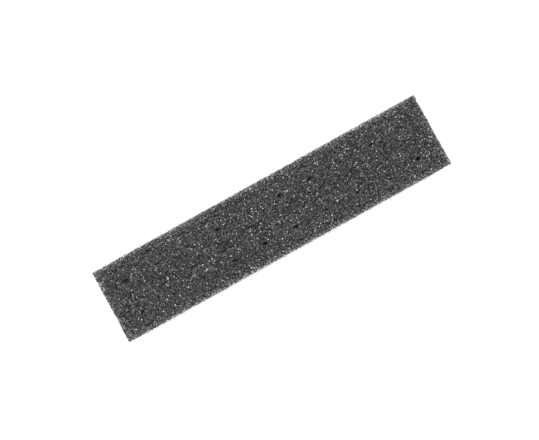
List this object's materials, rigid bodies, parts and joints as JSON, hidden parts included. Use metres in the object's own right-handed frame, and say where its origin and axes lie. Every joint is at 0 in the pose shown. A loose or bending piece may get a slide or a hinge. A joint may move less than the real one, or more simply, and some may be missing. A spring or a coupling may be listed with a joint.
{
  "type": "chalkboard eraser",
  "caption": "Long board eraser: charcoal foam pad with low round studs and pin holes, held by hook-and-loop on a plate screwed to a waisted hollow plastic grip.",
  "frame": {"origin": "middle of the flat back of the handle, which the eraser rests on with its foam face up", "axes": "+X along the length, +Y across the width, +Z out of the wiping face"},
  "size_m": [0.189, 0.04, 0.0399],
  "materials": {
    "foam": "open-cell polyurethane foam, matte charcoal",
    "loop": "black loop knit",
    "hook": "black nylon hook tape",
    "plastic": "black moulded ABS, fine texture",
    "steel": "zinc-plated"
  },
  "bodies": {
    "grip": {"handle_shell": "plastic", "base_plate": "plastic", "hook_strip_front": "hook", "hook_strip_rear": "hook", "base_screw_1": "steel", "base_screw_2": "steel", "base_screw_3": "steel", "base_screw_4": "steel"},
    "refill": {"wiping_pad": "foam", "loop_backing": "loop"}
  },
  "joints": [
    {"name": "pad_release", "type": "slide", "parent": "grip", "child": "refill", "axis": [0, 0, 1], "range_m": [0, 0.03]}
  ]
}
